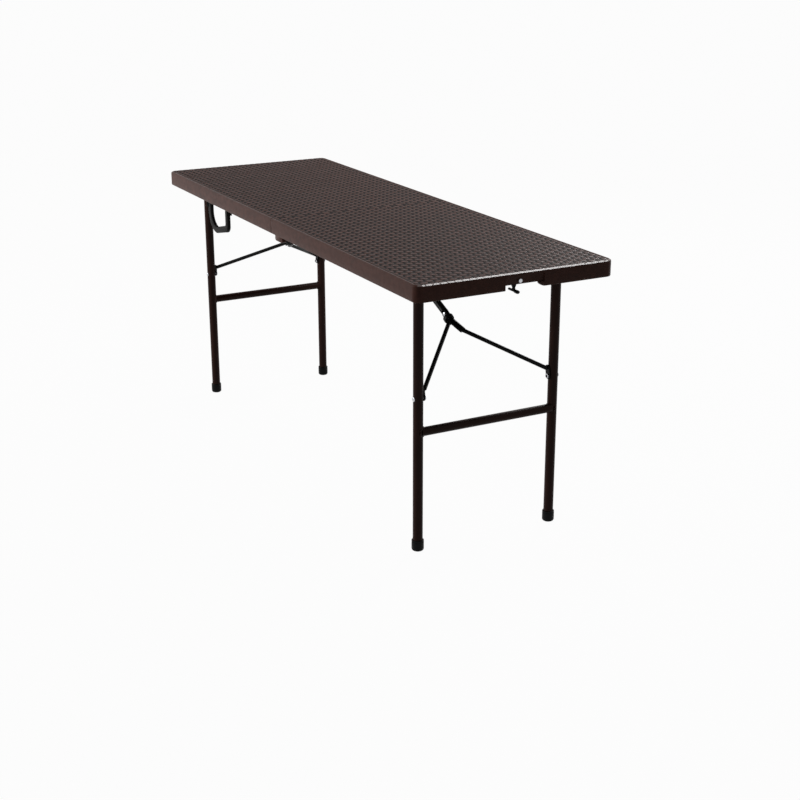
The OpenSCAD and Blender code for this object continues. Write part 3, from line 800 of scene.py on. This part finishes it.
def makeBraceBolts():
    d = braceBolt
    rings = [(d["shaft"], d["nutFrom"]), (d["shaft"], d["headFrom"])]
    head = turned("boltHead", rings + domeRings(d["head"], d["headFrom"], d["headTo"], d["dome"]), 28)
    rest()
    bpy.ops.mesh.primitive_cylinder_add(vertices=6, radius=d["nut"], depth=d["nutTo"] - d["nutFrom"],
                                        location=(0, 0, (d["nutFrom"] + d["nutTo"]) / 2))
    nut = placed("boltNut")
    bevelEdges(nut, lambda c, v: abs(v.z) < tiny, d["nutRound"], 2)
    bolt = merge([head, nut], "braceBolt")
    bolt.data.transform(aimed((leg["x"], 0, d["z"]), (0, 1, 0)))
    bolts = merge([bolt, copyTo(bolt, "bolt", mirrorY)], "braceBolts")
    onBothHalves(bolts, "BraceBolts", "leg_frame", zinc, "brace_bolts")


makeBraceBolts()

railScrew = {
    "x": (0.078, 0.425, 0.778),
    "y": 0.246,
    "shaft": 0.0019,
    "tip": 0.7355,
    "seat": 0.7140,
    "low": 0.7116,
    "head": 0.0045,
    "dome": ((1, 0), (1, 0.45), (0.9, 0.8), (0.6, 0.97), (0.3, 1)),
    "slot": (0.0024, 0.00045, 0.0011),  # half its length, half its width, and its depth
}


# pan heads with a crossed slot, turned with the head up and then aimed down
def makeRailScrews():
    d = railScrew
    high = d["seat"] - d["low"]
    rings = [(d["shaft"], d["low"] - d["tip"]), (d["shaft"], -high)]
    screw = turned("railScrew", rings + domeRings(d["head"], -high, 0, d["dome"]), 24)
    long, wide, deep = d["slot"]
    carve(screw, block("slot", (-long, -wide, -deep), (long, wide, 0.001)))
    carve(screw, block("crossedSlot", (-wide, -long, -deep), (wide, long, 0.001)))
    screw.data.transform(aimed((0, 0, d["low"]), (0, 0, -1)))
    places = [(x, side * d["y"], 0) for x in d["x"] for side in (-1, 1)]
    screws = merge([copyTo(screw, "screw", Matrix.Translation(place)) for place in places], "railScrews")
    bpy.data.objects.remove(screw)
    onBothHalves(screws, "RailScrews", "half", zinc, "rail_screws")


makeRailScrews()

lockRing = {
    "middle": (0.51627, 0, 0.54177),
    "along": (-0.8596, 0, 0.5110),
    "rings": [(0.0126, -0.0060), (0.0136, -0.0054), (0.0140, -0.0042), (0.0140, 0.0042), (0.0136, 0.0054),
              (0.0126, 0.0060), (0.0118, 0.0060), (0.0114, 0.0055), (0.0114, -0.0060)],
}


# both flat faces at the low end come out, and a bridge between their rims closes the ring
def makeLockRings():
    d = lockRing
    low = d["rings"][0][1]
    ring = turned("lockRing", d["rings"], 40)
    edit(ring)
    pickFaces(ring, lambda c, n: abs(n.z) > 0.99 and abs(c.z - low) < tiny)
    bpy.ops.mesh.delete(type="ONLY_FACE")
    bpy.ops.mesh.select_all(action="DESELECT")
    bpy.ops.mesh.select_mode(type="EDGE")
    bpy.ops.mesh.select_non_manifold()
    bpy.ops.mesh.bridge_edge_loops()
    bpy.ops.mesh.select_all(action="SELECT")
    bpy.ops.mesh.normals_make_consistent(inside=False)
    rest()
    ring.data.transform(aimed(d["middle"], d["along"]))
    onBothHalves(ring, "LockRing", "lock_ring", capPlastic, "lock_ring")


makeLockRings()

# X along the brace from the leg bolts to the knuckle, Z across it, in metres
braceFrame = Matrix(((-0.8596, 0, 0.5110, 0.716), (0, 1, 0, 0), (0.5110, 0, 0.8596, 0.412), (0, 0, 0, 1)))
rightArm = {
    "flat": ((0.2280, 0.0025, 0.0005), (0.2620, 0.0055, 0.0185)),
    "start": (0.2310, 0.0032, 0.0095),
    "bend": (0.1920, 0.0185, 0.0095),
    "end": (0.0140, 0.1802, 0.0165),
    "radius": 0.0055,
    "tip": 0.003,  # the tube's ends taper, over this length, inside the shoulder and the eye
    "taper": (0.8, 0.7),
    "shoulder": ((0.0070, 0), (0.0092, 0.0020), (0.0098, 0.0050), (0.0098, 0.0440), (0.0092, 0.0448),
                 (0.0040, 0.0449)),
    "squeeze": 0.64,  # pressed flat enough for the folded link to lie over it
    "eye": 0.008,
    "hole": 0.0042,
    "plate": (0.1832, 0.1862),
}


def alongBar(point, toward):
    ahead = (Vector(toward) - Vector(point)).normalized()
    up = (Vector((0, 0, 1)) - ahead * ahead.z).normalized()
    return Matrix.Translation(point) @ Matrix((up, ahead.cross(up), ahead)).transposed().to_4x4()


# arm on the right of the photograph: its flattened end swells to a shoulder below the lock ring
def makeRightArms():
    d = rightArm
    flat = block("armFlat", *d["flat"])
    shoulder = turned("armShoulder", d["shoulder"], 28)
    shoulder.data.transform(alongBar(d["start"], d["bend"]) @ Matrix.Diagonal((d["squeeze"], 1, 1, 1)))
    length = (Vector(d["end"]) - Vector(d["bend"])).length
    first, last = (share * d["radius"] for share in d["taper"])
    tube = turned("armTube", [(first, -d["tip"]), (d["radius"], 0), (d["radius"], length),
                              (last, length + d["tip"])], 28)
    tube.data.transform(alongBar(d["bend"], d["end"]))
    reach, eye = math.hypot(d["end"][0], d["end"][2]), d["eye"]
    inner, outer = d["plate"]
    plate = block("armEye", (-eye, inner, -eye), (reach + eye, outer, eye))
    bevelEdges(plate, lambda c, v: abs(v.y) > 0.002, eye * 0.97, 8)
    carve(plate, rod("boltHole", "Y", (0, inner - 0.01, 0), (0, outer + 0.01, 0), d["hole"], 24))
    plate.data.transform(Matrix.Rotation(-math.atan2(d["end"][2], d["end"][0]), 4, "Y"))
    arm = merge([flat, shoulder, tube, plate], "rightArm")
    arm.data.transform(braceFrame)
    arm.data.flip_normals()  # braceFrame is left-handed and turns the faces inwards
    onBothHalves(arm, "RightArm", "brace", blackCoat, "right_arm")


makeRightArms()

braceRivet = {
    "middle": (0.50080, 0, 0.55097),
    "shaft": 0.003,
    "head": 0.0055,
    "from": 0.0055,
    "to": 0.0075,
    "dome": ((1, 0), (0.97, 0.3), (0.8, 0.66), (0.5, 0.92), (0.2, 1)),
}


def makeBraceRivets():
    d = braceRivet
    rings = [(d["shaft"], 0), (d["shaft"], d["from"])]
    head = turned("rivetHead", rings + domeRings(d["head"], d["from"], d["to"], d["dome"]), 28)
    head.data.transform(aimed(d["middle"], (0, 1, 0)))
    rivet = merge([head, copyTo(head, "head", mirrorY)], "braceRivet")
    onBothHalves(rivet, "BraceRivet", "brace", zinc, "brace_rivet")


makeBraceRivets()

weld = {
    "x": 0.720,
    "z": 0.324,
    "ring": 0.0121,  # just outside the crossbar
    "bead": 0.0017,
    "bedding": 0.0004,  # how far the bead stands off the leg
    "stretch": 1.2,
    "ripple": 0.0004,
    "ripples": 26,
}


# weld beads where the crossbar meets the legs, laid along the saddle
def makeWelds():
    d = weld
    rest()
    bpy.ops.mesh.primitive_torus_add(major_segments=72, minor_segments=10, major_radius=d["ring"],
                                     minor_radius=d["bead"], location=(0, 0, 0))
    bead = added("weldBead")
    bead.data.transform(aimed((d["x"], 0, d["z"]), (0, 1, 0)))
    for v in bead.data.vertices:
        away = (leg["radius"] + d["bedding"]) ** 2 - (v.co.x - leg["x"]) ** 2
        ripple = d["ripple"] * math.sin(d["ripples"] * math.atan2(v.co.z - d["z"], v.co.x - d["x"]))
        v.co.y = leg["y"] - math.sqrt(max(away, 0)) + v.co.y * d["stretch"] + ripple
    welds = merge([bead, copyTo(bead, "bead", mirrorY)], "welds")
    onBothHalves(welds, "Welds", "leg_frame", brownCoat, None, 60)


makeWelds()

railPlug = {
    "y": 0.246,
    "half": 0.0084,
    "low": 0.7156,
    "high": 0.7305,
    "ends": (0.024, 0.832),
    "length": 0.010,
    "lip": 0.002,
    "dish": 0.0012,
    "round": 0.0004,
}


# plugs in both ends of each rail, dished inside a narrow lip
def makeRailPlugs():
    d = railPlug
    plugs = []
    for x in d["ends"]:
        out = 1 if x > halfTop["end"] / 2 else -1
        low, high = sorted((x, x - out * d["length"]))
        plug = block("railPlug", (low, -d["y"] - d["half"], d["low"]), (high, -d["y"] + d["half"], d["high"]))
        edit(plug)
        pickFaces(plug, lambda c, n: n.x * out > 0.99)
        bpy.ops.mesh.inset(thickness=d["lip"], depth=0)
        bpy.ops.mesh.extrude_region_move(TRANSFORM_OT_translate={"value": (-out * d["dish"], 0, 0)})
        rest()
        bevelEdges(plug, lambda c, v: abs(c.x - x) < tiny, d["round"], 2)
        plugs += [plug, copyTo(plug, "plug", mirrorY)]
    onBothHalves(merge(plugs, "railPlugs"), "RailPlugs", "half", capPlastic, None)


makeRailPlugs()

carryHandle = {
    "middle": (-0.445, -0.2645),
    "width": 0.160,
    "low": 0.606,
    "high": 0.69495,
    "strap": 0.0200,
    "thick": 0.0115,
    "bend": 0.062,
    "sharpBend": 0.022,
    "innerBend": 0.008,
    "eyeBend": 0.0078,
    "round": 0.0036,
    "lift": 0.017,  # how far the grip rises towards its right end
    "liftFades": (0.63, 0.68),
}


def makeCarryHandle():
    d = carryHandle
    x, y = d["middle"]
    half, thick = d["width"] / 2, d["thick"] / 2
    inner = half - d["strap"]
    halfway = (d["low"] + d["high"]) / 2
    bail = block("carryHandle", (x - half, y - thick, d["low"]), (x + half, y + thick, d["high"]))
    bevelEdges(bail, lambda c, v: abs(v.y) > 0.005 and c.z < halfway and c.x < x, d["bend"], 12)
    bevelEdges(bail, lambda c, v: abs(v.y) > 0.005 and c.z < halfway and c.x > x + inner, d["sharpBend"], 5)
    gap = block("gap", (x - inner, y - 0.02, d["low"] + d["strap"]), (x + inner, y + 0.02, d["high"] + 0.02))
    bevelEdges(gap, lambda c, v: abs(v.y) > 0.02 and c.z < halfway and c.x < x, d["bend"] - d["strap"], 12)
    bevelEdges(gap, lambda c, v: abs(v.y) > 0.02 and c.z < halfway and c.x > x, d["innerBend"], 4)
    carve(bail, gap)
    bevelEdges(bail, lambda c, v: abs(v.y) > 0.005 and abs(c.z - d["high"]) < tiny, d["eyeBend"], 5)
    bevelEdges(bail, lambda c, v: abs(v.y) < tiny and abs(abs(c.y - y) - thick) < tiny, d["round"], 3)
    for v in bail.data.vertices:
        rise = smooth(v.co.x, x - 0.01, x + inner) * (1 - smooth(v.co.z, *d["liftFades"]))
        v.co.z += d["lift"] * rise
    finish(bail, "carry_handle", gripPlastic, ["carry_handle"], 30)


makeCarryHandle()

latch = {
    "place": (0.818, 0.007, 0.687),
    "bar": [(0.0021, -0.0220), (0.0031, -0.0214), (0.0035, -0.0200), (0.0035, 0.0020), (0.0040, 0.0050),
            (0.0050, 0.0085), (0.0053, 0.0120), (0.0053, 0.0180), (0.0049, 0.0203), (0.0040, 0.0214),
            (0.0025, 0.0220)],
    "press": 0.84,  # the bar is so much lower than wide
    "stem": [(0.0052, 0), (0.0046, 0.0030), (0.0040, 0.0058), (0.0040, 0.0426), (0.0060, 0.0427),
             (0.0060, 0.0447)],
    "boss": [(0.0050, 0.0100), (0.0062, 0.0140), (0.0080, 0.0215), (0.0092, 0.0250), (0.0092, 0.0284),
             (0.0080, 0.0286)],
}


# turning bar under the near end: a fat finger end, a slim tail, and a stem up into its guide
def makeLatch():
    d = latch
    bar = turned("latchBar", d["bar"])
    bar.data.transform(aimed(d["place"], (1, 0, 0)) @ Matrix.Diagonal((d["press"], 1, 1, 1)))
    stem, boss = turned("latchStem", d["stem"]), turned("latchBoss", d["boss"])
    for piece in (stem, boss):
        piece.data.transform(Matrix.Translation(d["place"]))
    carve(stem, boss, "UNION")
    carve(bar, stem, "UNION")
    finish(bar, "latch", capPlastic, ["latch_bar"])


makeLatch()
print("fittings made")


# stage and light

studio = {
    "floor": 60,
    "floorColour": "#9c9c9c",
    "floorRoughness": 0.9,
    "white": "#ffffff",
    "seen": 0.97,  # how much of the floor's look to the camera and in reflections is plain white
    "skyLight": 0.02,
    # place, aim, size and watts
    "keySoftbox": ((-1.9, -3.8, 1.55), (0, 0, 0.6), (1.8, 1.2), 95),
    "edgeSoftbox": ((0.66, 1.5, 3.2), (0.85, 0, 0.74), (0.5, 1.1), 25),
    "backSoftbox": ((-1.5, 3.0, 2.6), (0.7, 0.2, 0.74), (0.9, 0.9), 85),
}


# 1 for the rays that see the background as white: from the camera, in gloss and through glass
def whiteRays(tree):
    path = addNode(tree, "ShaderNodeLightPath")
    seen = addNode(tree, "ShaderNodeMath", {"operation": "MAXIMUM"},
                   {0: path.outputs["Is Camera Ray"], 1: path.outputs["Is Glossy Ray"]})
    seenToo = addNode(tree, "ShaderNodeMath", {"operation": "MAXIMUM"},
                      {0: seen.outputs[0], 1: path.outputs["Is Transmission Ray"]})
    return seenToo.outputs[0]


def addFloor():
    d = studio
    rest()
    bpy.ops.mesh.primitive_plane_add(size=d["floor"], location=(0, 0, 0))
    floor = added("studioFloor")
    material = bpy.data.materials.new("paleStudioFloor")
    material.use_nodes = True
    tree = material.node_tree
    shader = tree.nodes["Principled BSDF"]
    feed(tree, shader, {"Base Color": srgb(d["floorColour"]), "Roughness": d["floorRoughness"]})
    share = addNode(tree, "ShaderNodeMath", {"operation": "MULTIPLY"}, {0: whiteRays(tree), 1: d["seen"]})
    white = addNode(tree, "ShaderNodeEmission", None, {"Color": srgb(d["white"]), "Strength": 1.0})
    both = addNode(tree, "ShaderNodeMixShader", None,
                   {0: share.outputs[0], 1: shader.outputs[0], 2: white.outputs[0]})
    feed(tree, tree.nodes["Material Output"], {"Surface": both.outputs[0]})
    floor.data.materials.append(material)


def addWorld():
    d = studio
    world = bpy.data.worlds.new("studioWorld")
    bpy.context.scene.world = world
    world.use_nodes = True
    tree = world.node_tree
    tree.nodes.clear()
    strength = addNode(tree, "ShaderNodeMapRange", None,
                       {"Value": whiteRays(tree), "To Min": d["skyLight"], "To Max": 1.0})
    sky = addNode(tree, "ShaderNodeBackground", None,
                  {"Color": srgb(d["white"]), "Strength": strength.outputs["Result"]})
    addNode(tree, "ShaderNodeOutputWorld", None, {"Surface": sky.outputs[0]})


def addLamp(name):
    place, aim, size, watts = studio[name]
    data = bpy.data.lights.new(name, "AREA")
    data.shape = "RECTANGLE"
    data.size, data.size_y = size
    data.energy = watts
    lamp = bpy.data.objects.new(name, data)
    bpy.context.scene.collection.objects.link(lamp)
    lamp.location = place
    lamp.rotation_euler = (Vector(aim) - Vector(place)).to_track_quat("-Z", "Y").to_euler()


bpy.context.scene.view_settings.view_transform = "Standard"
addFloor()
addWorld()
addLamp("keySoftbox")
addLamp("edgeSoftbox")
addLamp("backSoftbox")
print("stage and lights made")
